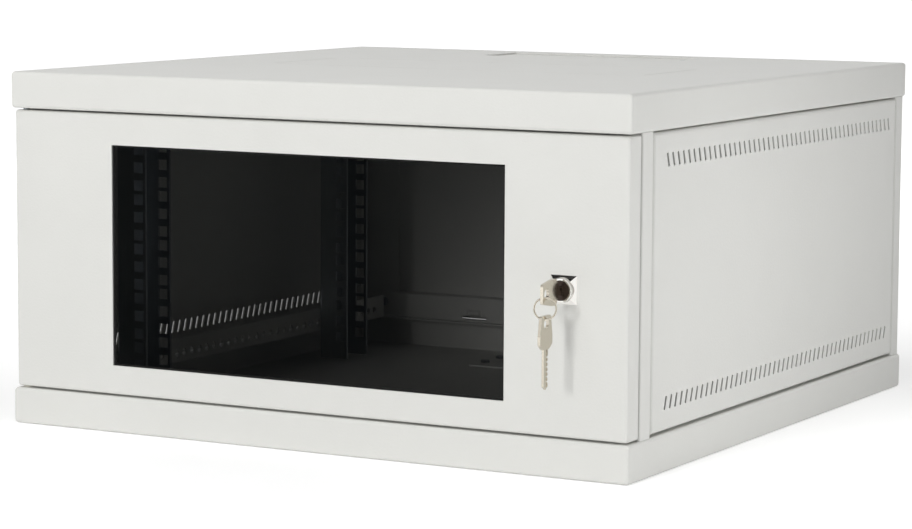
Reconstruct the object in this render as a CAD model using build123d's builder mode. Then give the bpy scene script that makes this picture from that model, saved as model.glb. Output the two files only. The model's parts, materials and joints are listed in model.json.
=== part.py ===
from build123d import *
import os

# Overall size of the cabinet
width = 600.0
depth = 600.0
height = 310.0
base_height = 31.8
lid_height = 32.0

# Sheet steel and how it is folded
sheet = 1.5
tray_bend = 3.0
tray_corner = 2.0
rim_width = 20.0
fold = 2.0
side_fit = 0.3

# Door pan, standing in front of the posts
door_inset = 2.0
door_side_gap = 2.5
door_base_gap = 1.5
door_lid_gap = 1.6
door_depth = 20.0
door_bend = 2.5
door_corner = 2.0
swing_gap = 1.8

# Window in the door
window_from_left = 102.5
window_from_right = 110.5
window_from_bottom = 25.25
window_from_top = 26.85
gasket_thick = 1.0
gasket_show = 1.5
glass_thick = 4.0
glass_margin = 10.0

# Clips that hold the glass
clip_width = 20.0
clip_foot = 10.0
clip_tongue = 8.0
clip_gap = 0.5
clips_in_row = 4
clip_end_gap = 26.0
stud_radius = 2.0
stud_length = 7.0
clip_nut_flats = 7.0
clip_nut_thick = 3.0

# Hidden door pivots
pivot_from_edge = 5.5
pivot_from_back = 10.0
pin_radius = 3.0
pin_head_radius = 3.7
pin_head = 2.0
pin_past_rim = 2.5
running_gap = 0.05
washer_radius = 5.0

# Corner posts
post_width = 20.0
post_flange = 46.0
post_lip = 12.0
rear_post_width = 17.5

# Side panels and their vent slots
panel_gap = 1.0
panel_base_gap = 1.8
panel_lid_gap = 1.2
panel_depth = 12.0
panel_bend = 3.5
slot_length = 11.5
slot_width = 3.0
slot_pitch = 10.2
slot_tilt = 18.0
slot_row_inset = 23.0
slot_row_start = 26.8
slot_row_end_room = 18.0

# Back panel and the holes that take the wall bolts
wall_spacing_x = 220.0
wall_spacing_z = 170.0
wall_hole_radius = 5.0
back_edge_gap = 2.0
back_side_gap = 8.0

# Rear cross rails
rear_rail_depth = 16.0
rear_rail_height = 25.5
rear_rail_end_gap = 0.7
tab_spacing = 310.0
tab_slot_width = 28.0
tab_slot_height = 3.5
tab_slot_rise = 4.5
tab_width = 16.0
tab_height = 7.0
tab_bulge = 2.5
tab_taper = 40.0

# 19-inch rack rails
rack_unit = 44.45
rack_side_room = 75.0
rack_hole_inset = 7.55
rack_hole = 9.5
rack_hole_offsets = (6.35, 22.225, 38.1)
rack_flange = 31.0
rack_channel = 40.0
rack_sheet = 2.0
rack_setback = 96.0
rack_rear_room = 110.0
rack_end_gap = 6.0

# Perforated depth rails that carry the rack rails
depth_rail_height = 23.0
depth_rail_flange = 28.0
depth_rail_end_gap = 27.5
step_hole_radius = 3.5
step_pitch = 12.5
step_end_room = 12.0
step_hole_height = 9.5

# Bolts of the rack rails
bolt_radius = 3.0
bolt_gap = 0.3
bolt_flats = 10.0
bolt_head = 4.0
bolt_nut = 5.0

# Screws of the panels and cable covers
screw_radius = 2.4
screw_gap = 0.1
screw_head_radius = 4.5
screw_head = 2.5
panel_screw_length = 12.0
panel_screw_inset = 33.1
back_screw_inset = 13.1

# Cable entries near the back of both trays
entry_width = 200.0
entry_depth = 65.0
entry_from_back = 35.0
entry_overlap = 12.0

# Slits round the knock-out for a fan plate in the lid
knockout_width = 378.0
knockout_depth = 130.0
knockout_shift = 10.0
knockout_slit = 1.2
knockout_bridge = 8.0

# Lock in the door
lock_from_edge = 57.0
lock_drop = 2.5
escutcheon = 23.5
escutcheon_height = 3.5
escutcheon_taper = 55.0
boss_radius = 10.0
boss_height = 6.5
boss_round = 0.8
barrel_radius = 9.0
barrel_gap = 0.3
lock_nut_flats = 24.0
lock_nut_thick = 5.0
plug_radius = 6.0
plug_head_radius = 8.2
plug_head = 2.5
plug_sink = 0.5
cam_gap = 0.4
cam_thick = 2.5
cam_width = 14.0
cam_overlap = 20.0
cam_square = 8.0
cam_screw_depth = 4.0
cam_screw_head = 3.0
cam_screw_head_radius = 5.0

# Keys and key ring
key_standoff = 5.0
bow_length = 27.0
bow_end = 15.5
bow_waist = 21.0
bow_shoulder = 10.0
bow_waist_from = 16.2
bow_waist_to = 23.0
bow_thick = 2.4
bow_hole_radius = 4.2
bow_hole_from_end = 6.5
bow_round = 2.0
blade_length = 32.0
blade_width = 7.0
blade_thick = 2.0
blade_point = 2.5
blade_cuts = 6
blade_cut_pitch = 3.9
blade_cut_side = 2.5
blade_cut_turn = 45.0
blade_groove = 1.6
blade_groove_depth = 0.5
blade_groove_shift = 1.4
keyway_gap = 0.2
ring_radius = 8.7
ring_turn = 29.0
ring_wire = 0.9
ring_gap = 0.3

# Planes and lines that the pieces share
half_width = width / 2
front = -depth / 2
back = depth / 2
middle = height / 2
lid_bottom = height - lid_height
body_side = half_width - sheet - side_fit
back_skin = back - sheet

door_front = front + door_inset
door_back = door_front + door_depth
door_inside = door_front + sheet
door_half = half_width - door_side_gap
door_bottom = base_height + door_base_gap
door_top = lid_bottom - door_lid_gap
door_middle = (door_bottom + door_top) / 2

window_width = 2 * door_half - window_from_left - window_from_right
window_height = door_top - door_bottom - window_from_bottom - window_from_top
window_x = (window_from_left - window_from_right) / 2
window_z = door_middle + (window_from_bottom - window_from_top) / 2
glass_width = window_width + 2 * glass_margin
glass_height = window_height + 2 * glass_margin
clip_pitch = (glass_width - 2 * clip_end_gap - clip_width) / (clips_in_row - 1)

post_front = door_back + swing_gap
post_end = post_front + post_width
post_inner = body_side - post_flange
lip_inner = body_side - post_lip
rear_post_start = back_skin - rear_post_width

panel_front = post_end + panel_gap
panel_rear = rear_post_start - panel_gap
panel_bottom = base_height + panel_base_gap
panel_top = lid_bottom - panel_lid_gap

rack_inner = half_width - rack_side_room
rack_outer = rack_inner + rack_flange
rack_hole_x = rack_inner + rack_hole_inset
rack_front_middle = front + rack_setback + rack_channel / 2
rack_space = depth - rack_setback - rack_channel - rack_rear_room
steps_between_rails = int(rack_space // step_pitch)
rack_rear_middle = rack_front_middle + steps_between_rails * step_pitch
rail_middles = {"front": rack_front_middle, "rear": rack_rear_middle}
bolt_heights = (base_height + step_hole_height, lid_bottom - step_hole_height)

pivot_x = pivot_from_edge - door_half
pivot_y = door_back - pivot_from_back

lock_x = door_half - lock_from_edge
lock_z = door_middle - lock_drop
lock_face = door_front - boss_height
cam_front = post_front + sheet + cam_gap
cam_back = cam_front + cam_thick

bow_end_y = lock_face - key_standoff - bow_length
ring_y = bow_end_y + bow_hole_from_end
ring_top = lock_z - bow_hole_radius + ring_wire + ring_gap
ring_middle = ring_top - ring_radius
ring_bottom = ring_middle - ring_radius
spare_hole_z = ring_bottom - bow_hole_radius + ring_wire + ring_gap
spare_end_z = spare_hole_z + bow_hole_from_end

os.makedirs("parts", exist_ok=True)


def facing_front(y):
    """Plane across the cabinet at depth y, with x to the right and y upwards."""
    return Plane.XZ.offset(-y)


def facing_side(x):
    """Plane along the cabinet's side at x, with x towards the back and y upwards."""
    return Plane.YZ.offset(x)


def save(piece, name):
    """Names one finished piece and writes it."""
    piece.label = name
    export_step(piece, f"parts/{name}.step")


def mirrored(piece, about=Plane.YZ):
    """The same piece for the other side of the cabinet."""
    with BuildPart() as other:
        mirror(piece, about=about)
    return other.part


def folded(points, plane, length, thick=sheet):
    """Sheet strip folded along a line of points, its thickness on the line's left."""
    with BuildPart() as strip:
        with BuildSketch(plane):
            with BuildLine():
                outer = FilletPolyline(*points, radius=fold)
                offset(outer, amount=thick, side=Side.LEFT)
            make_face()
        extrude(amount=length)
    return strip.part


def tray(plate_z, up, tall):
    """Folded tray: a plate with its cable entry, four skirts and a rim turned inwards."""
    floor = Plane(origin=(0, 0, plate_z), x_dir=(1, 0, 0), z_dir=(0, 0, up))
    entry_y = up * (back - entry_from_back - entry_depth / 2)
    with BuildPart() as pan:
        with BuildSketch(floor):
            Rectangle(width, depth)
        extrude(amount=tall)
        fillet(pan.edges().filter_by(Axis.Z), radius=tray_corner)
        fillet(pan.faces().sort_by(Axis.Z)[0].edges(), radius=tray_bend)
        fillet(pan.faces().sort_by(Axis.Z)[-1].edges(), radius=tray_bend)
        offset(amount=-sheet, mode=Mode.SUBTRACT)
        with BuildSketch(floor.offset(tall)):
            Rectangle(width - 2 * (sheet + rim_width), depth - 2 * (sheet + rim_width))
        extrude(amount=-2 * sheet, mode=Mode.SUBTRACT)
        with BuildSketch(floor):
            with Locations((0, entry_y)):
                Rectangle(entry_width, entry_depth)
                with GridLocations(entry_width + entry_overlap, entry_depth / 2, 2, 2):
                    Circle(screw_radius + screw_gap)
        extrude(amount=sheet, mode=Mode.SUBTRACT)
        with BuildSketch(floor.offset(tall)):
            with Locations((pivot_x, up * pivot_y)):
                Circle(pin_radius + running_gap)
        extrude(amount=-sheet, mode=Mode.SUBTRACT)
    return pan.part


def cable_cover(plate_z, up):
    """Blanking plate that lies on the inside of a tray's cable entry."""
    inside = Plane(origin=(0, 0, plate_z + up * sheet), x_dir=(1, 0, 0), z_dir=(0, 0, up))
    entry_y = up * (back - entry_from_back - entry_depth / 2)
    with BuildPart() as cover:
        with BuildSketch(inside):
            with Locations((0, entry_y)):
                Rectangle(entry_width + 2 * entry_overlap, entry_depth + entry_overlap)
                with GridLocations(entry_width + entry_overlap, entry_depth / 2, 2, 2):
                    Circle(screw_radius + screw_gap, mode=Mode.SUBTRACT)
        extrude(amount=sheet)
    return cover.part


def key(plane):
    """Flat key along the plane's x, from the end of its bow to the point of its blade."""
    tip = bow_length + blade_length
    with BuildPart() as flat_key:
        with BuildSketch(plane):
            with BuildLine():
                Polyline(
                    (0, -bow_end / 2),
                    (bow_waist_from, -bow_waist / 2),
                    (bow_waist_to, -bow_waist / 2),
                    (bow_length, -bow_shoulder / 2),
                    (bow_length, bow_shoulder / 2),
                    (bow_waist_to, bow_waist / 2),
                    (bow_waist_from, bow_waist / 2),
                    (0, bow_end / 2),
                    close=True,
                )
            bow = make_face()
            fillet(bow.vertices(), radius=bow_round)
            with Locations((bow_hole_from_end, 0)):
                Circle(bow_hole_radius, mode=Mode.SUBTRACT)
        extrude(amount=bow_thick / 2, both=True)
        with BuildSketch(plane):
            with BuildLine():
                Polyline(
                    (bow_length, -blade_width / 2),
                    (tip - blade_point, -blade_width / 2),
                    (tip, 0),
                    (tip - blade_point, blade_width / 2),
                    (bow_length, blade_width / 2),
                    close=True,
                )
            make_face()
            first_cut = bow_length + blade_length / 2
            with Locations((first_cut, blade_width / 2)):
                with GridLocations(blade_cut_pitch, 0, blade_cuts, 1):
                    Rectangle(blade_cut_side, blade_cut_side, rotation=blade_cut_turn, mode=Mode.SUBTRACT)
        extrude(amount=blade_thick / 2, both=True)
        for side in (-1, 1):
            with BuildSketch(plane.offset(side * blade_thick / 2)):
                with Locations((bow_length + blade_length / 2, side * blade_groove_shift)):
                    Rectangle(blade_length, blade_groove)
            extrude(amount=-side * blade_groove_depth, mode=Mode.SUBTRACT)
    return flat_key.part


# Base tray, flat underneath, and the lid, the same tray turned over
save(tray(0, 1, base_height), "base_tray")
with BuildPart() as top_cover:
    add(tray(height, -1, lid_height))
    with BuildSketch(Plane.XY.offset(height)):
        with Locations((0, knockout_shift)):
            with GridLocations(knockout_width, 0, 2, 1):
                Rectangle(knockout_slit, knockout_depth - 2 * knockout_bridge)
            with GridLocations(0, knockout_depth, 1, 2):
                Rectangle(knockout_width - 2 * knockout_bridge, knockout_slit)
    extrude(amount=-sheet, mode=Mode.SUBTRACT)
save(top_cover.part, "top_cover")
save(cable_cover(0, 1), "cable_cover_base")
save(cable_cover(height, -1), "cable_cover_top")

# Screws of the cable covers, with their heads inside the cabinet
with BuildPart() as cable_cover_screws:
    for plate_z, up in ((0, 1), (height, -1)):
        outside = Plane(origin=(0, 0, plate_z), x_dir=(1, 0, 0), z_dir=(0, 0, up))
        entry_y = up * (back - entry_from_back - entry_depth / 2)
        with BuildSketch(outside):
            with Locations((0, entry_y)):
                with GridLocations(entry_width + entry_overlap, entry_depth / 2, 2, 2):
                    Circle(screw_radius)
        extrude(amount=2 * sheet)
        with BuildSketch(outside.offset(2 * sheet)):
            with Locations((0, entry_y)):
                with GridLocations(entry_width + entry_overlap, entry_depth / 2, 2, 2):
                    Circle(screw_head_radius)
        extrude(amount=screw_head)
save(cable_cover_screws.part, "cable_cover_screws")

# Corner posts, standing on the base's rim and carrying the lid's rim
post_length = lid_bottom - base_height
post_foot = Plane.XY.offset(base_height)
panel_screw_x = (lip_inner + body_side - fold) / 2
panel_screw_spread = post_length - 2 * panel_screw_inset
back_screw_spread = post_length - 2 * back_screw_inset
with BuildPart() as front_post:
    add(
        folded(
            [
                (post_inner, post_front),
                (body_side, post_front),
                (body_side, post_end),
                (lip_inner, post_end),
            ],
            post_foot,
            post_length,
        )
    )
    with BuildSketch(facing_front(post_end)):
        with Locations((panel_screw_x, middle)):
            with GridLocations(0, panel_screw_spread, 1, 2):
                Circle(screw_radius + screw_gap)
    extrude(amount=sheet, mode=Mode.SUBTRACT)
save(mirrored(front_post.part), "front_post_left")
save(front_post.part, "front_post_right")

back_screw_x = (post_inner + lip_inner) / 2
with BuildPart() as rear_post:
    add(
        folded(
            [
                (lip_inner, rear_post_start),
                (body_side, rear_post_start),
                (body_side, back_skin),
                (post_inner, back_skin),
            ],
            post_foot,
            post_length,
        )
    )
    with BuildSketch(facing_front(rear_post_start)):
        with Locations((panel_screw_x, middle)):
            with GridLocations(0, panel_screw_spread, 1, 2):
                Circle(screw_radius + screw_gap)
    extrude(amount=-sheet, mode=Mode.SUBTRACT)
    with BuildSketch(facing_front(back_skin)):
        with Locations((back_screw_x, middle)):
            with GridLocations(0, back_screw_spread, 1, 2):
                Circle(screw_radius + screw_gap)
    extrude(amount=sheet, mode=Mode.SUBTRACT)
save(mirrored(rear_post.part), "rear_post_left")
save(rear_post.part, "rear_post_right")

# Side panels: shallow pans between the posts, with a row of slanted slots at top and bottom
panel_length = panel_rear - panel_front
panel_middle_y = (panel_front + panel_rear) / 2
panel_middle_z = (panel_bottom + panel_top) / 2
slots_in_row = int((panel_length - slot_row_start - slot_row_end_room) // slot_pitch) + 1
slot_row_middle = panel_front + slot_row_start + (slots_in_row - 1) * slot_pitch / 2
with BuildPart() as side_panel:
    with BuildSketch(facing_side(body_side)):
        with Locations((panel_middle_y, panel_middle_z)):
            Rectangle(panel_length, panel_top - panel_bottom)
    extrude(amount=-panel_depth)
    fillet(side_panel.faces().sort_by(Axis.X)[-1].edges(), radius=panel_bend)
    offset(amount=-sheet, openings=side_panel.faces().sort_by(Axis.X)[0])
    with BuildSketch(facing_side(body_side)):
        for edge_z, side in ((panel_top, 1), (panel_bottom, -1)):
            with Locations((slot_row_middle, edge_z - side * slot_row_inset)):
                with GridLocations(slot_pitch, 0, slots_in_row, 1):
                    Rectangle(slot_width, slot_length, rotation=side * slot_tilt)
    extrude(amount=-sheet, mode=Mode.SUBTRACT)
    for edge_y, inwards in ((panel_front, -1), (panel_rear, 1)):
        with BuildSketch(facing_front(edge_y)):
            with Locations((panel_screw_x, middle)):
                with GridLocations(0, panel_screw_spread, 1, 2):
                    Circle(screw_radius + screw_gap)
        extrude(amount=inwards * sheet, mode=Mode.SUBTRACT)
save(mirrored(side_panel.part), "side_panel_left")
save(side_panel.part, "side_panel_right")

# Screws through the posts' lips into the side panels, with their heads inside the posts
with BuildPart() as panel_screws:
    for lip_face, along in ((post_end - sheet, -1), (rear_post_start + sheet, 1)):
        shank = along * panel_screw_length
        for radius, length in ((screw_radius, shank), (screw_head_radius, -along * screw_head)):
            with BuildSketch(facing_front(lip_face)):
                with Locations((0, middle)):
                    with GridLocations(2 * panel_screw_x, panel_screw_spread, 2, 2):
                        Circle(radius)
            extrude(amount=length)
save(panel_screws.part, "panel_screws")

# Back panel with the four holes for the wall bolts
with BuildPart() as back_panel:
    with BuildSketch(facing_front(back)):
        with Locations((0, middle)):
            Rectangle(2 * (body_side - back_side_gap), post_length - 2 * back_edge_gap)
            with GridLocations(wall_spacing_x, wall_spacing_z, 2, 2):
                Circle(wall_hole_radius, mode=Mode.SUBTRACT)
            with GridLocations(2 * back_screw_x, back_screw_spread, 2, 2):
                Circle(screw_radius + screw_gap, mode=Mode.SUBTRACT)
    extrude(amount=sheet)
save(back_panel.part, "back_panel")

with BuildPart() as back_panel_screws:
    shank = (back, screw_radius, 2 * sheet)
    head = (back_skin - sheet, screw_head_radius, screw_head)
    for start, radius, length in (shank, head):
        with BuildSketch(facing_front(start)):
            with Locations((0, middle)):
                with GridLocations(2 * back_screw_x, back_screw_spread, 2, 2):
                    Circle(radius)
        extrude(amount=length)
save(back_panel_screws.part, "back_panel_screws")

# Rear cross rails: C sections on the trays' rims, open towards the back panel, with pressed tabs over slots
rear_rail_half = post_inner - rear_rail_end_gap
rear_rail_front = back_skin - rear_rail_depth
tab_slot_z = base_height + tab_slot_rise
tab_z = tab_slot_z + (tab_slot_height + tab_height) / 2
with BuildPart() as rear_rail:
    add(
        folded(
            [
                (back_skin, base_height + rear_rail_height),
                (rear_rail_front, base_height + rear_rail_height),
                (rear_rail_front, base_height),
                (back_skin, base_height),
            ],
            facing_side(-rear_rail_half),
            2 * rear_rail_half,
        )
    )
    with BuildSketch(facing_front(rear_rail_front)):
        with Locations((0, tab_slot_z)):
            with GridLocations(tab_spacing, 0, 2, 1):
                Rectangle(tab_slot_width, tab_slot_height)
    extrude(amount=-sheet, mode=Mode.SUBTRACT)
    with BuildSketch(facing_front(rear_rail_front)):
        with Locations((0, tab_z)):
            with GridLocations(tab_spacing, 0, 2, 1):
                Rectangle(tab_width, tab_height)
    extrude(amount=tab_bulge, taper=tab_taper)
save(rear_rail.part, "rear_rail_lower")
trays_middle = Plane.XY.offset((base_height + lid_bottom) / 2)
save(mirrored(rear_rail.part, trays_middle), "rear_rail_upper")

# Depth rails: perforated angles along the rims, which carry the rack rails
depth_rail_start = front + depth_rail_end_gap
depth_rail_length = depth - 2 * depth_rail_end_gap
depth_rail_end = depth_rail_start + depth_rail_length
steps_ahead = int((rack_front_middle - depth_rail_start - step_end_room) // step_pitch)
steps_behind = int((depth_rail_end - rack_rear_middle - step_end_room) // step_pitch)
step_count = steps_ahead + steps_between_rails + steps_behind + 1
steps_middle = rack_front_middle + (steps_between_rails + steps_behind - steps_ahead) * step_pitch / 2
with BuildPart() as depth_rail:
    add(
        folded(
            [
                (rack_outer, base_height + depth_rail_height),
                (rack_outer, base_height),
                (rack_outer + depth_rail_flange, base_height),
            ],
            facing_front(depth_rail_end),
            depth_rail_length,
        )
    )
    with BuildSketch(facing_side(rack_outer)):
        with Locations((steps_middle, base_height + step_hole_height)):
            with GridLocations(step_pitch, 0, step_count, 1):
                Circle(step_hole_radius)
    extrude(amount=sheet, mode=Mode.SUBTRACT)
save(depth_rail.part, "depth_rail_lower_right")
save(mirrored(depth_rail.part), "depth_rail_lower_left")
save(mirrored(depth_rail.part, trays_middle), "depth_rail_upper_right")
save(mirrored(mirrored(depth_rail.part), trays_middle), "depth_rail_upper_left")

# Rack rails: U channels with square holes on the 19-inch pattern in both flanges
rack_foot = Plane.XY.offset(rack_end_gap)
rack_length = height - 2 * rack_end_gap
rack_units = int(rack_length // rack_unit)
rack_bottom_unit = middle - rack_units * rack_unit / 2
rack_hole_points = [
    (rack_hole_x, rack_bottom_unit + unit * rack_unit + step)
    for unit in range(rack_units)
    for step in rack_hole_offsets
]
for place, rail_y in rail_middles.items():
    rail_front = rail_y - rack_channel / 2
    rail_rear = rail_y + rack_channel / 2
    with BuildPart() as rack_rail:
        add(
            folded(
                [
                    (rack_inner, rail_front),
                    (rack_outer, rail_front),
                    (rack_outer, rail_rear),
                    (rack_inner, rail_rear),
                ],
                rack_foot,
                rack_length,
                rack_sheet,
            )
        )
        with BuildSketch(facing_front(rail_rear)):
            with Locations(*rack_hole_points):
                Rectangle(rack_hole, rack_hole)
        extrude(amount=rack_channel, mode=Mode.SUBTRACT)
        with BuildSketch(facing_side(rack_outer)):
            with Locations(*[(rail_y, bolt_z) for bolt_z in bolt_heights]):
                Circle(bolt_radius + bolt_gap)
        extrude(amount=-rack_sheet, mode=Mode.SUBTRACT)
    save(mirrored(rack_rail.part), f"rack_rail_{place}_left")
    save(rack_rail.part, f"rack_rail_{place}_right")

# Bolts of the rack rails, head inside the channel and nut outside the depth rail
bolt_points = [(rail_y, bolt_z) for rail_y in rail_middles.values() for bolt_z in bolt_heights]
with BuildPart() as rail_bolts:
    with BuildSketch(facing_side(rack_outer - rack_sheet)):
        with Locations(*bolt_points):
            RegularPolygon(bolt_flats / 2, 6, major_radius=False)
    extrude(amount=-bolt_head)
    with BuildSketch(facing_side(rack_outer - rack_sheet)):
        with Locations(*bolt_points):
            Circle(bolt_radius)
    extrude(amount=rack_sheet + sheet)
    with BuildSketch(facing_side(rack_outer + sheet)):
        with Locations(*bolt_points):
            RegularPolygon(bolt_flats / 2, 6, major_radius=False)
    extrude(amount=bolt_nut)
    mirror(about=Plane.YZ)
save(rail_bolts.part, "rail_bolts")

# Door: a folded pan with the window, the lock hole and the pivot holes
with BuildPart() as door_panel:
    with BuildSketch(facing_front(door_front)):
        with Locations((0, door_middle)):
            Rectangle(2 * door_half, door_top - door_bottom)
    extrude(amount=-door_depth)
    fillet(door_panel.edges().filter_by(Axis.Y), radius=door_corner)
    fillet(door_panel.faces().sort_by(Axis.Y)[0].edges(), radius=door_bend)
    offset(amount=-sheet, openings=door_panel.faces().sort_by(Axis.Y)[-1])
    with BuildSketch(facing_front(door_front)):
        with Locations((window_x, window_z)):
            Rectangle(window_width, window_height)
        with Locations((lock_x, lock_z)):
            Circle(barrel_radius + barrel_gap)
    extrude(amount=-sheet, mode=Mode.SUBTRACT)
    with BuildSketch(Plane.XY.offset(door_bottom)):
        with Locations((pivot_x, pivot_y)):
            Circle(pin_radius + running_gap)
    extrude(amount=door_top - door_bottom, mode=Mode.SUBTRACT)
save(door_panel.part, "door_panel")

# Foam strip and smoked glass behind the window
with BuildPart() as window_gasket:
    with BuildSketch(facing_front(door_inside)):
        with Locations((window_x, window_z)):
            Rectangle(glass_width, glass_height)
            Rectangle(window_width - 2 * gasket_show, window_height - 2 * gasket_show, mode=Mode.SUBTRACT)
    extrude(amount=-gasket_thick)
save(window_gasket.part, "window_gasket")

glass_front = door_inside + gasket_thick
glass_back = glass_front + glass_thick
with BuildPart() as window_glass:
    with BuildSketch(facing_front(glass_front)):
        with Locations((window_x, window_z)):
            Rectangle(glass_width, glass_height)
    extrude(amount=-glass_thick)
save(window_glass.part, "window_glass")

# Clips above and below the glass: a foot on the door, a step and a tongue over the glass
glass_edge = window_z + glass_height / 2
clip_step = glass_edge + clip_gap
clip_start = window_x - (clips_in_row - 1) * clip_pitch / 2 - clip_width / 2
glass_middle = Plane.XY.offset(window_z)
with BuildPart() as glass_clips:
    for number in range(clips_in_row):
        with BuildSketch(facing_side(clip_start + number * clip_pitch)):
            with BuildLine():
                Polyline(
                    (door_inside, clip_step),
                    (door_inside, clip_step + clip_foot),
                    (door_inside + sheet, clip_step + clip_foot),
                    (door_inside + sheet, clip_step + sheet),
                    (glass_back + sheet, clip_step + sheet),
                    (glass_back + sheet, glass_edge - clip_tongue),
                    (glass_back, glass_edge - clip_tongue),
                    (glass_back, clip_step),
                    close=True,
                )
            make_face()
        extrude(amount=clip_width)
    stud_z = clip_step + sheet + (clip_foot - sheet) / 2
    with BuildSketch(facing_front(door_inside)):
        with Locations((window_x, stud_z)):
            with GridLocations(clip_pitch, 0, clips_in_row, 1):
                Circle(stud_radius + screw_gap)
    extrude(amount=-sheet, mode=Mode.SUBTRACT)
    mirror(about=glass_middle)
save(glass_clips.part, "glass_clips")

with BuildPart() as clip_nuts:
    with BuildSketch(facing_front(door_inside)):
        with Locations((window_x, stud_z)):
            with GridLocations(clip_pitch, 0, clips_in_row, 1):
                Circle(stud_radius)
    extrude(amount=-stud_length)
    with BuildSketch(facing_front(door_inside + sheet)):
        with Locations((window_x, stud_z)):
            with GridLocations(clip_pitch, 0, clips_in_row, 1):
                RegularPolygon(clip_nut_flats / 2, 6, major_radius=False)
    extrude(amount=-clip_nut_thick)
    mirror(about=glass_middle)
save(clip_nuts.part, "clip_nuts")

# Pivot pins: a head inside the door and a shank through the tray's rim
pin_ends = {
    "upper": (door_top - sheet, 1, sheet + door_lid_gap + sheet + pin_past_rim),
    "lower": (door_bottom + sheet, -1, sheet + door_base_gap + sheet + pin_past_rim),
}
for place, (flange_z, up, reach) in pin_ends.items():
    seat = Plane(origin=(pivot_x, pivot_y, flange_z), x_dir=(1, 0, 0), z_dir=(0, 0, up))
    with BuildPart() as hinge_pin:
        with BuildSketch(seat):
            Circle(pin_radius)
        extrude(amount=reach)
        with BuildSketch(seat):
            Circle(pin_head_radius)
        extrude(amount=-pin_head)
    save(hinge_pin.part, f"hinge_pin_{place}")

with BuildPart() as hinge_washer:
    with BuildSketch(Plane.XY.offset(base_height)):
        with Locations((pivot_x, pivot_y)):
            Circle(washer_radius)
            Circle(pin_radius + running_gap, mode=Mode.SUBTRACT)
    extrude(amount=door_base_gap)
save(hinge_washer.part, "hinge_washer")

# Lock body: a square foot that slopes up to a round boss, and a barrel through the door
lock_spot = (lock_x, lock_z)
with BuildPart() as lock_housing:
    with BuildSketch(facing_front(door_front)):
        with Locations(lock_spot):
            Rectangle(escutcheon, escutcheon)
    extrude(amount=escutcheon_height, taper=escutcheon_taper)
    with BuildSketch(facing_front(door_front)):
        with Locations(lock_spot):
            Circle(boss_radius)
    extrude(amount=boss_height)
    with BuildSketch(facing_front(door_front)):
        with Locations(lock_spot):
            Circle(barrel_radius)
    extrude(amount=door_front - cam_front + barrel_gap)
    with BuildSketch(facing_front(lock_face)):
        with Locations(lock_spot):
            Circle(plug_radius + running_gap)
    extrude(amount=lock_face - cam_front, mode=Mode.SUBTRACT)
    with BuildSketch(facing_front(lock_face)):
        with Locations(lock_spot):
            Circle(plug_head_radius + running_gap)
    extrude(amount=-(plug_sink + plug_head), mode=Mode.SUBTRACT)
    face_rims = lock_housing.edges().group_by(Axis.Y)[0]
    fillet(face_rims.sort_by(SortBy.LENGTH)[-1], radius=boss_round)
save(lock_housing.part, "lock_housing")

with BuildPart() as lock_nut:
    with BuildSketch(facing_front(door_inside)):
        with Locations(lock_spot):
            RegularPolygon(lock_nut_flats / 2, 6, major_radius=False)
            Circle(barrel_radius + running_gap, mode=Mode.SUBTRACT)
    extrude(amount=-lock_nut_thick)
save(lock_nut.part, "lock_nut")

# Plug that turns in the lock, with its keyway and the square that carries the cam
plug_face = lock_face + plug_sink
blade_end = lock_face - key_standoff + blade_length
with BuildPart() as lock_plug:
    with BuildSketch(facing_front(plug_face)):
        with Locations(lock_spot):
            Circle(plug_head_radius)
    extrude(amount=-plug_head)
    with BuildSketch(facing_front(plug_face)):
        with Locations(lock_spot):
            Circle(plug_radius)
    extrude(amount=plug_face - cam_front)
    with BuildSketch(facing_front(cam_front)):
        with Locations(lock_spot):
            Rectangle(cam_square, cam_square)
    extrude(amount=-cam_thick)
    with BuildSketch(facing_front(plug_face)):
        with Locations(lock_spot):
            Rectangle(blade_thick + 2 * keyway_gap, blade_width + 2 * keyway_gap)
    extrude(amount=plug_face - blade_end - keyway_gap, mode=Mode.SUBTRACT)
    with BuildSketch(facing_front(cam_back)):
        with Locations(lock_spot):
            Circle(screw_radius + screw_gap)
    extrude(amount=cam_screw_depth, mode=Mode.SUBTRACT)
save(lock_plug.part, "lock_plug")

# Cam behind the door, hanging down at rest and reaching behind the right post when turned
cam_reach = post_inner - lock_x + cam_overlap - cam_width / 2
with BuildPart() as lock_cam:
    with BuildSketch(facing_front(cam_front)):
        with Locations((lock_x, lock_z - cam_reach / 2)):
            SlotCenterToCenter(cam_reach, cam_width, rotation=90)
        with Locations(lock_spot):
            Rectangle(cam_square, cam_square, mode=Mode.SUBTRACT)
    extrude(amount=-cam_thick)
save(lock_cam.part, "lock_cam")

with BuildPart() as cam_screw:
    with BuildSketch(facing_front(cam_back)):
        with Locations(lock_spot):
            Circle(screw_radius)
    extrude(amount=cam_screw_depth)
    with BuildSketch(facing_front(cam_back)):
        with Locations(lock_spot):
            Circle(cam_screw_head_radius)
    extrude(amount=-cam_screw_head)
save(cam_screw.part, "cam_screw")

# Key in the lock, the ring through its bow and the spare key that hangs on the ring
in_lock = Plane(origin=(lock_x, bow_end_y, lock_z), x_dir=(0, 1, 0), z_dir=(1, 0, 0))
hanging = Plane(origin=(lock_x, ring_y, spare_end_z), x_dir=(0, 0, -1), z_dir=(1, 0, 0))
save(key(in_lock), "door_key")
save(key(hanging), "spare_key")

ring_level = Plane(origin=(lock_x, ring_y, ring_middle)).rotated((0, 0, ring_turn))
with BuildPart() as key_ring:
    with BuildSketch(ring_level):
        with Locations((ring_radius, 0)):
            Circle(ring_wire)
    revolve(axis=Axis(ring_level.origin, ring_level.y_dir))
save(key_ring.part, "key_ring")
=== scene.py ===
"""Finishes of a wall mount network cabinet: powder coated steel, smoked glass, plated rails, a lock and its keys."""

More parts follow.
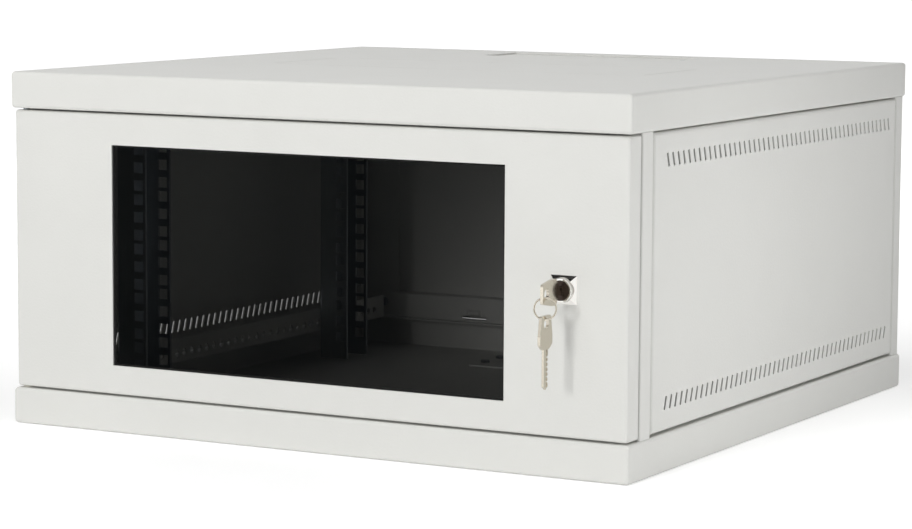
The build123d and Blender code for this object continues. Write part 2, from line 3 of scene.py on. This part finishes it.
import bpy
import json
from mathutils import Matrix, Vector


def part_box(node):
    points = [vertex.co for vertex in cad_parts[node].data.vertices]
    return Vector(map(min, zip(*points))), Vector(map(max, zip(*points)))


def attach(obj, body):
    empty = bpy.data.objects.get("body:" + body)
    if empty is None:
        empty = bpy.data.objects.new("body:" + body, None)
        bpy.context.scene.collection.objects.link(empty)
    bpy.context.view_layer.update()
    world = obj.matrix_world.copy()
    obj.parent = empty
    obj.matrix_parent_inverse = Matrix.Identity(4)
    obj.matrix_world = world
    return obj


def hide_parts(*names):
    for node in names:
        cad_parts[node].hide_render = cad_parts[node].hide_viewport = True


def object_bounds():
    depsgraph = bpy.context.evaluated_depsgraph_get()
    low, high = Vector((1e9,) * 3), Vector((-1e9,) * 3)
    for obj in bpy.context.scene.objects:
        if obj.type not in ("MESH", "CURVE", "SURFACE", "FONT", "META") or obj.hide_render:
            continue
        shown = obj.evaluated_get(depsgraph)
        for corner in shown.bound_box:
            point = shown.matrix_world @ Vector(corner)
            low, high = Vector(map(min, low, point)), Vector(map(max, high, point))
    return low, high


bl_info = {
    "name": "Wall Mount Network Cabinet",
    "version": (1, 0, 0),
    "blender": (4, 5, 0),
    "location": "View3D > Sidebar > Cabinet",
    "description": "Dresses the cabinet in its finishes and sets the studio around it",
    "category": "Object",
}

import json
import math

import bmesh
import bpy
from bpy.props import FloatProperty, FloatVectorProperty, PointerProperty
from mathutils import Matrix, Vector

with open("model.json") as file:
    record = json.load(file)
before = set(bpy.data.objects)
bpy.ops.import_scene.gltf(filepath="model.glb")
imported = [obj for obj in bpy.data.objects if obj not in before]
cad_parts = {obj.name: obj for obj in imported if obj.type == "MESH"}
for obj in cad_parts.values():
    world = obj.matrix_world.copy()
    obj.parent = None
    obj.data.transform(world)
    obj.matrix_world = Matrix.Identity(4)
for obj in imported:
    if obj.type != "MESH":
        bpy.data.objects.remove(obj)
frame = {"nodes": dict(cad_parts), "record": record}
cad_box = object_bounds()

MILLIMETRE = 0.001

# Colour sockets of a Mix node, by number, because its socket names repeat.
MIX_FIRST, MIX_SECOND, MIX_RESULT = 6, 7, 2
# Most values of a noise texture lie between these.
NOISE_LOW, NOISE_HIGH = 0.3, 0.7
EDGE_SAMPLES = 8
# Rolling streaks run this many times as far up a rail as they are wide.
STREAK_STRETCH = 25

# Split ring of two turns: the radius of the wire's middle line, the steps along it, how far each end stops short of
# the ring's lowest point, how far the cross-over reaches to either side of it, and how far each turn lies from the
# middle plane, as a share of its thickness.
RING_RADIUS = 8.7 * MILLIMETRE
RING_STEPS = 160
RING_END = math.radians(21)
RING_CROSSING = math.radians(18)
RING_TURN_SHIFT = 0.52
# Steps in each rounded corner of the wire.
CORNER_STEPS = 3

# Width of the photograph in pixels, and of the camera's sensor in millimetres.
PHOTO_WIDTH = 912
SENSOR_WIDTH = 36.0

# Round floor in metres. Its glow rises between the near and the far distance from the cabinet's middle.
FLOOR_RADIUS = 40.0
FLOOR_SEGMENTS = 96
FLOOR_NEAR = 0.5
FLOOR_FAR = 2.4

# Each soft box has the setting of its power, its place, the point it is aimed at, its width and its height, in metres.
CABINET_MIDDLE = (0.0, 0.0, cad_box[1].z / 2)
SOFT_BOXES = {
    "key_soft_box": ("key_light", (-0.14, -2.8, 0.65), CABINET_MIDDLE, 0.65, 0.8),
    "top_soft_box": ("top_light", (0.0, -0.9, 1.95), (0.0, -0.15, 0.1), 1.6, 1.3),
    "right_soft_box": ("right_light", (0.95, -0.2, 0.2), (0.3, -0.15, 0.02), 0.2, 0.35),
    "left_fill": ("left_light", (-2.2, 0.6, 1.2), CABINET_MIDDLE, 1.4, 1.4),
    "back_fill": ("back_light", (0.8, 2.5, 1.3), CABINET_MIDDLE, 1.4, 1.4),
}

# Corners of the black cards, in metres. Two of them lie just above the floor.
CARD_LIFT = 0.004
FLAGS = {
    "door_flag": (
        (-0.42, -0.5, CARD_LIFT),
        (0.075, -0.5, CARD_LIFT),
        (-1.33, -3.3, CARD_LIFT),
        (-2.4, -3.3, CARD_LIFT),
    ),
    "ring_flag": (
        (0.42, -0.98, CARD_LIFT),
        (0.7, -0.82, CARD_LIFT),
        (1.06, -1.42, CARD_LIFT),
        (0.78, -1.58, CARD_LIFT),
    ),
    "lock_flag": ((-1.0, -0.7, 1.0), (0.1, -0.7, 1.0), (0.1, -1.5, 1.35), (-1.0, -1.5, 1.35)),
}


def linear(hex_value):
    """Turns an sRGB hex value into linear red, green and blue."""
    channels = [int(hex_value[i:i + 2], 16) / 255 for i in (1, 3, 5)]
    return tuple(c / 12.92 if c <= 0.04045 else ((c + 0.055) / 1.055) ** 2.4 for c in channels)


def colour_property(name, description, hex_value):
    """A colour that a user can change, given as an sRGB hex value."""
    return FloatVectorProperty(
        name=name,
        description=description,
        subtype="COLOR",
        size=3,
        min=0.0,
        max=1.0,
        default=linear(hex_value),
    )


def length_property(name, description, millimetres):
    """A length that a user can change, given in millimetres."""
    return FloatProperty(
        name=name,
        description=description,
        subtype="DISTANCE",
        unit="LENGTH",
        min=0.0,
        default=millimetres * MILLIMETRE,
        precision=5,
    )


def angle_property(name, description, degrees):
    """An angle that a user can change, given in degrees."""
    return FloatProperty(
        name=name,
        description=description,
        subtype="ANGLE",
        unit="ROTATION",
        default=math.radians(degrees),
    )


def power_property(name, description, watts):
    """A lamp's power that a user can change, given in watts."""
    return FloatProperty(name=name, description=description, unit="POWER", min=0.0, default=watts)


def share_property(name, description, share):
    """A share from 0 to 1 that a user can change."""
    return FloatProperty(
        name=name,
        description=description,
        subtype="FACTOR",
        min=0.0,
        max=1.0,
        default=share,
    )


class CabinetColours(bpy.types.PropertyGroup):
    """Colours of the cabinet's finishes and of the studio"""

    coat: colour_property("Powder coat", "Light grey of the steelwork", "#DEDEDA")
    coat_shade: colour_property("Coat shade", "The coat where it is a little thinner", "#DADAD6")
    zinc: colour_property("Zinc", "Plating of the rails and fasteners", "#B3B7BA")
    zinc_shade: colour_property("Zinc shade", "Rolling streaks under the plating", "#969CA2")
    glass: colour_property("Smoked glass", "Body tint of the window", "#0B0C0D")
    glass_opacity: share_property("Glass opacity", "Share of light that each face of the window stops", 0.38)
    foam: colour_property("Foam", "Sealing strip round the window", "#171717")
    chrome: colour_property("Chrome", "Plating of the lock body", "#DCDAD6")
    plug: colour_property("Lock plug", "Worn face of the lock plug", "#453C37")
    nickel: colour_property("Nickel", "Plating of the keys and their ring", "#CDC6B8")
    nylon: colour_property("Nylon", "Washer under the door", "#E2DED2")
    paper: colour_property("Floor", "Paper that the cabinet stands on", "#F6F6F6")
    white: colour_property("Room", "White that the camera and mirrors see all around", "#FFFFFF")
    felt: colour_property("Flag felt", "Black cards that only mirrors see", "#0D0D0D")


class CabinetSizes(bpy.types.PropertyGroup):
    """Sizes of surface detail and small forms"""

    cloud: length_property("Coat cloud", "Width of a patch where the coat is thinner", 71.43)
    peel: length_property("Orange peel", "Width of one bump of the powder coat", 2.0)
    peel_height: length_property("Peel height", "Height of the coat's bumps", 0.12)
    coat_edge: length_property("Coated edge", "Radius of the coat over a cut edge, as light shows it", 0.5)
    rail_edge: length_property("Rail edge", "Radius of a zinc plated edge, as light shows it", 0.5)
    plated_edge: length_property("Plated edge", "Radius of the lock's and keys' edges, as light shows it", 0.2)
    streak: length_property("Streak", "Spacing of the rolling streaks", 0.9)
    streak_height: length_property("Streak height", "Height of the rolling streaks", 0.01)
    smudge: length_property("Smudge", "Width of a wiping mark on the glass", 45.0)
    pore: length_property("Foam pore", "Width of one pore of the foam", 0.8)
    pore_depth: length_property("Pore depth", "Depth of one pore of the foam", 0.2)
    scratch: length_property("Scratch", "Spacing of the handling marks on the lock and keys", 0.6)
    chrome_ripple: length_property("Chrome ripple", "Height of the ripples in the chrome", 0.004)
    plug_ripple: length_property("Plug ripple", "Height of the worn plug's marks", 0.05)
    nickel_ripple: length_property("Nickel ripple", "Height of the ripples in the nickel", 0.008)
    nylon_cloud: length_property("Nylon cloud", "Width of a cloudy patch in the nylon", 8.0)
    ring_width: length_property("Ring wire width", "Width of the split ring's flat wire", 1.5)
    ring_thick: length_property("Ring wire thickness", "Thickness of one turn of the split ring", 0.68)
    ring_round: length_property("Ring wire rounding", "Rounding of the flat wire's edges", 0.22)
    paper_grain: length_property("Paper grain", "Width of one bump of the floor's paper", 1.1)
    paper_height: length_property("Paper height", "Height of the paper's bumps", 0.02)
    nap: length_property("Felt nap", "Width of one tuft of the flags' felt", 2.0)
    nap_height: length_property("Nap height", "Height of the felt's tufts", 0.2)


class StudioSettings(bpy.types.PropertyGroup):
    """Camera and light of the studio"""

    camera_place: FloatVectorProperty(
        name="Camera place",
        description="Where the camera stands",
        subtype="TRANSLATION",
        unit="LENGTH",
        default=(1.33368, -2.46511, 0.45151),
    )
    camera_yaw: angle_property("Yaw", "Turn of the camera to the left", 28.79)
    camera_pitch: angle_property("Pitch", "Tilt of the camera downwards", 6.57)
    camera_roll: angle_property("Roll", "Turn of the camera about its line of sight", 0.30)
    focal_pixels: FloatProperty(
        name="Focal length",
        description="Focal length in pixels of the photograph",
        subtype="PIXEL",
        default=3078.85,
    )
    sky: share_property("Sky", "Even light from all around", 0.10)
    near_glow: share_property("Near glow", "White that the floor adds beside the cabinet", 0.36)
    far_glow: share_property("Far glow", "White that the floor adds far off", 1.0)
    key_light: power_property("Key light", "Power of the soft box before the door", 38.0)
    top_light: power_property("Top light", "Power of the overhead soft box", 15.0)
    right_light: power_property("Right light", "Power of the low soft box on the right", 1.9)
    left_light: power_property("Left light", "Power of the soft box on the left", 12.0)
    back_light: power_property("Back light", "Power of the soft box behind the cabinet", 24.0)


def add_node(tree, kind, inputs, **settings):
    """Adds a node with its settings, and gives each named input a value or a link."""
    node = tree.nodes.new(kind)
    for name, value in settings.items():
        setattr(node, name, value)
    for name, value in inputs.items():
        if isinstance(value, bpy.types.NodeSocket):
            tree.links.new(value, node.inputs[name])
        else:
            node.inputs[name].default_value = value
    return node


def rgba(colour):
    """A colour with full opacity, as a socket takes it."""
    return (*colour, 1.0)


def per_metre(size):
    """Texture scale that makes one feature of a texture this long."""
    return 1.0 / size


def new_material(name):
    """An empty material, its node tree, and the place on the object in metres."""
    material = bpy.data.materials.new(name)
    material.use_nodes = True
    tree = material.node_tree
    tree.nodes.clear()
    place = add_node(tree, "ShaderNodeTexCoord", {}).outputs["Object"]
    return material, tree, place


def close_material(tree, shader):
    """Links the finished shader to the material's output."""
    add_node(tree, "ShaderNodeOutputMaterial", {"Surface": shader.outputs[0]})


def rounded_relief(tree, bumps, height, edge, strength):
    """Normal of a surface with bumps, on which light shows sharp edges rounded to a radius."""
    rounding = add_node(tree, "ShaderNodeBevel", {"Radius": edge}, samples=EDGE_SAMPLES)
    relief = add_node(
        tree,
        "ShaderNodeBump",
        {"Height": bumps, "Distance": height, "Strength": strength, "Normal": rounding.outputs["Normal"]},
    )
    return relief.outputs["Normal"]


def powder_coat(colours, sizes):
    """Polyester powder baked on steel sheet: satin, with a fine orange peel and barely uneven grey."""
    material, tree, place = new_material("powder_coat_light_grey")
    cloud = add_node(tree, "ShaderNodeTexNoise", {"Vector": place, "Scale": per_metre(sizes.cloud), "Detail": 3.0})
    tone = add_node(
        tree,
        "ShaderNodeMix",
        {"Factor": cloud.outputs["Fac"], MIX_FIRST: rgba(colours.coat), MIX_SECOND: rgba(colours.coat_shade)},
        data_type="RGBA",
    )
    peel = add_node(
        tree,
        "ShaderNodeTexNoise",
        {"Vector": place, "Scale": per_metre(sizes.peel), "Detail": 1.5, "Roughness": 0.45},
    )
    bumps = peel.outputs["Fac"]
    gloss = add_node(
        tree,
        "ShaderNodeMapRange",
        {"Value": bumps, "From Min": NOISE_LOW, "From Max": NOISE_HIGH, "To Min": 0.40, "To Max": 0.52},
    )
    shader = add_node(
        tree,
        "ShaderNodeBsdfPrincipled",
        {
            "Base Color": tone.outputs[MIX_RESULT],
            "Roughness": gloss.outputs[0],
            "IOR": 1.5,
            "Normal": rounded_relief(tree, bumps, sizes.peel_height, sizes.coat_edge, strength=1.0),
        },
    )
    close_material(tree, shader)
    return material


def zinc_plate(colours, sizes):
    """Zinc on cold rolled steel: a cool satin metal with faint streaks along the sheet."""
    material, tree, place = new_material("zinc_plated_steel")
    along = add_node(tree, "ShaderNodeMapping", {"Vector": place, "Scale": (1.0, 1.0, 1.0 / STREAK_STRETCH)})
    streak = add_node(
        tree,
        "ShaderNodeTexNoise",
        {"Vector": along.outputs[0], "Scale": per_metre(sizes.streak), "Detail": 3.0, "Roughness": 0.6},
    )
    bumps = streak.outputs["Fac"]
    tone = add_node(
        tree,
        "ShaderNodeMix",
        {"Factor": bumps, MIX_FIRST: rgba(colours.zinc), MIX_SECOND: rgba(colours.zinc_shade)},
        data_type="RGBA",
    )
    gloss = add_node(
        tree,
        "ShaderNodeMapRange",
        {"Value": bumps, "From Min": NOISE_LOW, "From Max": NOISE_HIGH, "To Min": 0.30, "To Max": 0.44},
    )
    shader = add_node(
        tree,
        "ShaderNodeBsdfPrincipled",
        {
            "Base Color": tone.outputs[MIX_RESULT],
            "Metallic": 1.0,
            "Roughness": gloss.outputs[0],
            "Normal": rounded_relief(tree, bumps, sizes.streak_height, sizes.rail_edge, strength=0.6),
        },
    )
    close_material(tree, shader)
    return material


def smoked_glass(colours, sizes):
    """Float glass tinted grey in the melt: a clear dark pane with the faintest wiping marks."""
    material, tree, place = new_material("smoked_safety_glass")
    smudge = add_node(
        tree,
        "ShaderNodeTexNoise",
        {"Vector": place, "Scale": per_metre(sizes.smudge), "Detail": 4.0, "Distortion": 1.2},
    )
    gloss = add_node(
        tree,
        "ShaderNodeMapRange",
        {"Value": smudge.outputs["Fac"], "From Min": 0.4, "From Max": 0.8, "To Min": 0.02, "To Max": 0.06},
    )
    shader = add_node(
        tree,
        "ShaderNodeBsdfPrincipled",
        {
            "Base Color": rgba(colours.glass),
            "Roughness": gloss.outputs[0],
            "IOR": 1.52,
            "Alpha": colours.glass_opacity,
        },
    )
    close_material(tree, shader)
    return material


def cellular_foam(colours, sizes):
    """Cut cellular rubber: dead black, open pores on its edges, no shine."""
    material, tree, place = new_material("cellular_rubber_foam")
    pore = add_node(tree, "ShaderNodeTexVoronoi", {"Vector": place, "Scale": per_metre(sizes.pore)})
    bump = add_node(
        tree,
        "ShaderNodeBump",
        {"Height": pore.outputs["Distance"], "Distance": sizes.pore_depth, "Strength": 0.8},
    )
    gloss = add_node(
        tree,
        "ShaderNodeMapRange",
        {"Value": pore.outputs["Distance"], "To Min": 0.85, "To Max": 1.0},
    )
    shader = add_node(
        tree,
        "ShaderNodeBsdfPrincipled",
        {"Base Color": rgba(colours.foam), "Roughness": gloss.outputs[0], "Normal": bump.outputs["Normal"]},
    )
    close_material(tree, shader)
    return material


def plated_metal(name, colour, sizes, smooth, rough, ripple):
    """Bright or worn metal: a mirror with soft ripples and fine handling marks, between two roughnesses."""
    material, tree, place = new_material(name)
    marks = add_node(
        tree,
        "ShaderNodeTexNoise",
        {"Vector": place, "Scale": per_metre(sizes.scratch), "Detail": 5.0, "Roughness": 0.7},
    )
    bumps = marks.outputs["Fac"]
    gloss = add_node(
        tree,
        "ShaderNodeMapRange",
        {"Value": bumps, "From Min": NOISE_LOW, "From Max": NOISE_HIGH, "To Min": smooth, "To Max": rough},
    )
    shader = add_node(
        tree,
        "ShaderNodeBsdfPrincipled",
        {
            "Base Color": rgba(colour),
            "Metallic": 1.0,
            "Roughness": gloss.outputs[0],
            "Normal": rounded_relief(tree, bumps, ripple, sizes.plated_edge, strength=0.5),
        },
    )
    close_material(tree, shader)
    return material


def natural_nylon(colours, sizes):
    """Moulded nylon: cream, waxy and slightly cloudy."""
    material, tree, place = new_material("natural_nylon")
    cloud = add_node(tree, "ShaderNodeTexNoise", {"Vector": place, "Scale": per_metre(sizes.nylon_cloud)})
    gloss = add_node(
        tree,
        "ShaderNodeMapRange",
        {"Value": cloud.outputs["Fac"], "To Min": 0.42, "To Max": 0.56},
    )
    shader = add_node(
        tree,
        "ShaderNodeBsdfPrincipled",
        {"Base Color": rgba(colours.nylon), "Roughness": gloss.outputs[0], "IOR": 1.53},
    )
    close_material(tree, shader)
    return material


def finish_nodes(slot, material):
    """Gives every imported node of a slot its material."""
    for part in frame["record"]["subparts"]:
        if part["material_slot"] == slot:
            materials = frame["nodes"][part["node"]].data.materials
            materials.clear()
            materials.append(material)


class CABINET_OT_coat_steelwork(bpy.types.Operator):
    """Powder coats the trays, posts, panels, door and depth rails"""

    bl_idname = "cabinet.coat_steelwork"
    bl_label = "Coat Steelwork"

    def execute(self, context):
        scene = context.scene
        finish_nodes("grey_paint", powder_coat(scene.cabinet_colours, scene.cabinet_sizes))
        return {"FINISHED"}


class CABINET_OT_plate_rails(bpy.types.Operator):
    """Plates the rack rails, bolts, screws, clips, pins and cam with zinc"""

    bl_idname = "cabinet.plate_rails"
    bl_label = "Plate Rails"

    def execute(self, context):
        scene = context.scene
        finish_nodes("zinc_plate", zinc_plate(scene.cabinet_colours, scene.cabinet_sizes))
        return {"FINISHED"}


class CABINET_OT_glaze_door(bpy.types.Operator):
    """Glazes the door with smoked glass on its foam strip"""

    bl_idname = "cabinet.glaze_door"
    bl_label = "Glaze Door"

    def execute(self, context):
        scene = context.scene
        finish_nodes("smoked_glass", smoked_glass(scene.cabinet_colours, scene.cabinet_sizes))
        finish_nodes("foam", cellular_foam(scene.cabinet_colours, scene.cabinet_sizes))
        return {"FINISHED"}


class CABINET_OT_finish_lock(bpy.types.Operator):
    """Chromes the lock body, darkens its plug and colours the hinge washer"""

    bl_idname = "cabinet.finish_lock"
    bl_label = "Finish Lock"

    def execute(self, context):
        colours = context.scene.cabinet_colours
        sizes = context.scene.cabinet_sizes
        chrome = plated_metal(
            "chromed_zinc_casting", colours.chrome, sizes, smooth=0.05, rough=0.12, ripple=sizes.chrome_ripple
        )
        plug = plated_metal(
            "worn_plug_steel", colours.plug, sizes, smooth=0.15, rough=0.45, ripple=sizes.plug_ripple
        )
        finish_nodes("lock_chrome", chrome)
        finish_nodes("plug_steel", plug)
        finish_nodes("nylon", natural_nylon(colours, sizes))
        return {"FINISHED"}


class CABINET_OT_plate_keys(bpy.types.Operator):
    """Plates both keys with nickel"""

    bl_idname = "cabinet.plate_keys"
    bl_label = "Plate Keys"

    def execute(self, context):
        colours = context.scene.cabinet_colours
        sizes = context.scene.cabinet_sizes
        nickel = plated_metal(
            "nickel_plated_brass", colours.nickel, sizes, smooth=0.08, rough=0.24, ripple=sizes.nickel_ripple
        )
        finish_nodes("key_nickel", nickel)
        return {"FINISHED"}


def flat_wire_section(width, thick, rounding):
    """Outline of a flat wire with rounded edges, as pairs of outwards and sideways."""
    points = []
    for quarter in range(4):
        side = 1 if quarter in (0, 3) else -1
        level = 1 if quarter in (0, 1) else -1
        centre = (side * (width / 2 - rounding), level * (thick / 2 - rounding))
        for step in range(CORNER_STEPS + 1):
            turn = math.radians(90 * quarter + 90 * step / CORNER_STEPS)
            points.append((centre[0] + rounding * math.cos(turn), centre[1] + rounding * math.sin(turn)))
    return points


def skin_piece(scene, name, shape, loops, material):
    """Closes a row of equal loops into a smooth skin with flat ends, and makes it a piece."""
    count = len(loops[0])
    for first, second in zip(loops, loops[1:]):
        for index in range(count):
            after = (index + 1) % count
            shape.faces.new((first[index], first[after], second[after], second[index]))
    shape.faces.new(loops[0])
    shape.faces.new(reversed(loops[-1]))
    bmesh.ops.recalc_face_normals(shape, faces=shape.faces)
    for face in shape.faces:
        face.smooth = len(face.verts) == 4
    mesh = bpy.data.meshes.new(name)
    shape.to_mesh(mesh)
    shape.free()
    mesh.materials.append(bpy.data.materials[material])
    piece = bpy.data.objects.new(name, mesh)
    scene.collection.objects.link(piece)
    return piece


class CABINET_OT_wind_ring(bpy.types.Operator):
    """Winds the split ring: two turns of flat wire that lie side by side and cross over once"""

    bl_idname = "cabinet.wind_ring"
    bl_label = "Wind Ring"

    def execute(self, context):
        sizes = context.scene.cabinet_sizes
        low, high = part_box("key_ring")
        middle = (low + high) / 2
        wire = (high - low).z / 2 - RING_RADIUS
        across = Vector((high.x - low.x - 2 * wire, high.y - low.y - 2 * wire, 0)).normalized()
        axle = Vector((-across.y, across.x, 0))
        section = flat_wire_section(sizes.ring_width, sizes.ring_thick, sizes.ring_round)
        shape = bmesh.new()
        loops = []
        for step in range(RING_STEPS + 1):
            turn = RING_END + (4 * math.pi - 2 * RING_END) * step / RING_STEPS
            crossed = max(-1.0, min(1.0, (turn - 2 * math.pi) / RING_CROSSING))
            shift = math.sin(crossed * math.pi / 2) * sizes.ring_thick * RING_TURN_SHIFT
            outwards = across * math.sin(turn) - Vector((0, 0, math.cos(turn)))
            loops.append(
                [
                    shape.verts.new(middle + outwards * (RING_RADIUS + radial) + axle * (shift + sideways))
                    for radial, sideways in section
                ]
            )
        ring = skin_piece(context.scene, "split_ring", shape, loops, "nickel_plated_brass")
        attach(ring, "ring")
        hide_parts("key_ring")
        return {"FINISHED"}


def seen_directly(tree):
    """1 for a ray from the camera, a mirror or clear glass, and 0 for light that falls on a surface."""
    ray = add_node(tree, "ShaderNodeLightPath", {})
    camera_or_mirror = add_node(
        tree,
        "ShaderNodeMath",
        {0: ray.outputs["Is Camera Ray"], 1: ray.outputs["Is Glossy Ray"]},
        operation="MAXIMUM",
    )
    seen = add_node(
        tree,
        "ShaderNodeMath",
        {0: camera_or_mirror.outputs[0], 1: ray.outputs["Is Transmission Ray"]},
        operation="MAXIMUM",
    )
    return seen.outputs[0]


def seamless_paper(colours, sizes, studio):
    """Matt pale paper with a fine grain: it takes the cabinet's shadow, and a glow makes it white further off."""
    material, tree, place = new_material("seamless_paper")
    grain = add_node(tree, "ShaderNodeTexNoise", {"Vector": place, "Scale": per_metre(sizes.paper_grain)})
    bump = add_node(tree, "ShaderNodeBump", {"Height": grain.outputs["Fac"], "Distance": sizes.paper_height})
    paper = add_node(
        tree,
        "ShaderNodeBsdfPrincipled",
        {
            "Base Color": rgba(colours.paper),
            "Roughness": 0.9,
            "Specular IOR Level": 0.1,
            "Normal": bump.outputs["Normal"],
        },
    )
    away = add_node(tree, "ShaderNodeVectorMath", {0: place}, operation="LENGTH")
    glow = add_node(
        tree,
        "ShaderNodeMapRange",
        {
            "Value": away.outputs["Value"],
            "From Min": FLOOR_NEAR,
            "From Max": FLOOR_FAR,
            "To Min": studio.near_glow,
            "To Max": studio.far_glow,
        },
    )
    shown = add_node(tree, "ShaderNodeMath", {0: seen_directly(tree), 1: glow.outputs[0]}, operation="MULTIPLY")
    white = add_node(tree, "ShaderNodeEmission", {"Color": rgba(colours.white), "Strength": shown.outputs[0]})
    shader = add_node(tree, "ShaderNodeAddShader", {0: paper.outputs[0], 1: white.outputs[0]})
    close_material(tree, shader)
    return material


def flag_felt(colours, sizes):
    """Black felt on a card: no shine, with a short nap."""
    material, tree, place = new_material("flag_felt")
    nap = add_node(tree, "ShaderNodeTexNoise", {"Vector": place, "Scale": per_metre(sizes.nap)})
    bump = add_node(tree, "ShaderNodeBump", {"Height": nap.outputs["Fac"], "Distance": sizes.nap_height})
    shader = add_node(
        tree,
        "ShaderNodeBsdfPrincipled",
        {
            "Base Color": rgba(colours.felt),
            "Roughness": 1.0,
            "Specular IOR Level": 0.0,
            "Normal": bump.outputs["Normal"],
        },
    )
    close_material(tree, shader)
    return material


def lay_floor(scene):
    """A round floor of paper, out to the horizon."""
    mesh = bpy.data.meshes.new("floor")
    shape = bmesh.new()
    bmesh.ops.create_circle(shape, cap_ends=True, segments=FLOOR_SEGMENTS, radius=FLOOR_RADIUS)
    shape.to_mesh(mesh)
    shape.free()
    mesh.materials.append(seamless_paper(scene.cabinet_colours, scene.cabinet_sizes, scene.cabinet_studio))
    floor = bpy.data.objects.new("floor", mesh)
    floor.location.z = cad_box[0].z
    scene.collection.objects.link(floor)


def hang_sky(scene):
    """Even light from all around, which shows as white."""
    world = bpy.data.worlds.new("studio_sky")
    scene.world = world
    world.use_nodes = True
    tree = world.node_tree
    tree.nodes.clear()
    colour = rgba(scene.cabinet_colours.white)
    lit = add_node(tree, "ShaderNodeBackground", {"Color": colour, "Strength": scene.cabinet_studio.sky})
    white = add_node(tree, "ShaderNodeBackground", {"Color": colour, "Strength": 1.0})
    mix = add_node(tree, "ShaderNodeMixShader", {0: seen_directly(tree), 1: lit.outputs[0], 2: white.outputs[0]})
    add_node(tree, "ShaderNodeOutputWorld", {"Surface": mix.outputs[0]})


def hang_soft_box(scene, name, power, place, target, width, height):
    """A rectangular area light aimed at a point, kept out of mirrors, where the white room shows."""
    data = bpy.data.lights.new(name, "AREA")
    data.shape = "RECTANGLE"
    data.size = width
    data.size_y = height
    data.energy = getattr(scene.cabinet_studio, power)
    lamp = bpy.data.objects.new(name, data)
    scene.collection.objects.link(lamp)
    lamp.location = place
    lamp.rotation_mode = "QUATERNION"
    lamp.rotation_quaternion = (Vector(target) - Vector(place)).to_track_quat("-Z", "Y")
    lamp.visible_camera = False
    lamp.visible_glossy = False


def set_flag(scene, name, corners, material):
    """A black card beside the cabinet that only mirrors show, as it keeps white out of glass and chrome."""
    mesh = bpy.data.meshes.new(name)
    mesh.from_pydata(corners, [], [range(len(corners))])
    mesh.materials.append(material)
    card = bpy.data.objects.new(name, mesh)
    scene.collection.objects.link(card)
    for ray in ("camera", "diffuse", "transmission", "volume_scatter", "shadow"):
        setattr(card, f"visible_{ray}", False)


def camera_matrix(studio):
    """Camera's place and turn, from its yaw, pitch and roll."""
    yaw, pitch, roll = studio.camera_yaw, studio.camera_pitch, studio.camera_roll
    ahead = Vector((-math.sin(yaw) * math.cos(pitch), math.cos(yaw) * math.cos(pitch), -math.sin(pitch)))
    level = Vector((math.cos(yaw), math.sin(yaw), 0))
    upright = level.cross(ahead)
    right = level * math.cos(roll) + upright * math.sin(roll)
    up = upright * math.cos(roll) - level * math.sin(roll)
    turn = Matrix((right, up, -ahead)).transposed().to_4x4()
    return Matrix.Translation(studio.camera_place) @ turn


def place_camera(scene):
    """Stands the camera where the photograph was taken from."""
    studio = scene.cabinet_studio
    data = bpy.data.cameras.new("photo_camera")
    data.sensor_width = SENSOR_WIDTH
    data.lens = studio.focal_pixels / PHOTO_WIDTH * SENSOR_WIDTH
    camera = bpy.data.objects.new("photo_camera", data)
    scene.collection.objects.link(camera)
    camera.matrix_world = camera_matrix(studio)
    scene.camera = camera


class CABINET_OT_set_stage(bpy.types.Operator):
    """Lays the pale floor, hangs the soft boxes and flags, and places the camera"""

    bl_idname = "cabinet.set_stage"
    bl_label = "Set Stage"

    def execute(self, context):
        scene = context.scene
        scene.view_settings.view_transform = "Standard"
        lay_floor(scene)
        hang_sky(scene)
        for name, (power, place, target, width, height) in SOFT_BOXES.items():
            hang_soft_box(scene, name, power, place, target, width, height)
        felt = flag_felt(scene.cabinet_colours, scene.cabinet_sizes)
        for name, corners in FLAGS.items():
            set_flag(scene, name, corners, felt)
        place_camera(scene)
        return {"FINISHED"}


class CABINET_PT_finishes(bpy.types.Panel):
    """Shows the cabinet's settings and the steps that dress it"""

    bl_idname = "CABINET_PT_finishes"
    bl_label = "Network Cabinet"
    bl_space_type = "VIEW_3D"
    bl_region_type = "UI"
    bl_category = "Cabinet"

    def draw(self, context):
        for group in (context.scene.cabinet_colours, context.scene.cabinet_sizes, context.scene.cabinet_studio):
            box = self.layout.box()
            for name in group.__annotations__:
                box.prop(group, name)
        for operator in OPERATORS:
            self.layout.operator(operator.bl_idname)


GROUPS = (CabinetColours, CabinetSizes, StudioSettings)
OPERATORS = (
    CABINET_OT_coat_steelwork,
    CABINET_OT_plate_rails,
    CABINET_OT_glaze_door,
    CABINET_OT_finish_lock,
    CABINET_OT_plate_keys,
    CABINET_OT_wind_ring,
    CABINET_OT_set_stage,
)
CLASSES = (*GROUPS, *OPERATORS, CABINET_PT_finishes)


def register():
    """Adds the classes and the settings to Blender."""
    for cls in CLASSES:
        bpy.utils.register_class(cls)
    bpy.types.Scene.cabinet_colours = PointerProperty(type=CabinetColours)
    bpy.types.Scene.cabinet_sizes = PointerProperty(type=CabinetSizes)
    bpy.types.Scene.cabinet_studio = PointerProperty(type=StudioSettings)


def unregister():
    """Takes the settings and the classes out again."""
    del bpy.types.Scene.cabinet_studio
    del bpy.types.Scene.cabinet_sizes
    del bpy.types.Scene.cabinet_colours
    for cls in reversed(CLASSES):
        bpy.utils.unregister_class(cls)


def main():
    """Registers the add-on and runs its operators in order."""
    register()
    bpy.ops.cabinet.coat_steelwork()
    bpy.ops.cabinet.plate_rails()
    bpy.ops.cabinet.glaze_door()
    bpy.ops.cabinet.finish_lock()
    bpy.ops.cabinet.plate_keys()
    bpy.ops.cabinet.wind_ring()
    bpy.ops.cabinet.set_stage()


if __name__ == "__main__":
    main()
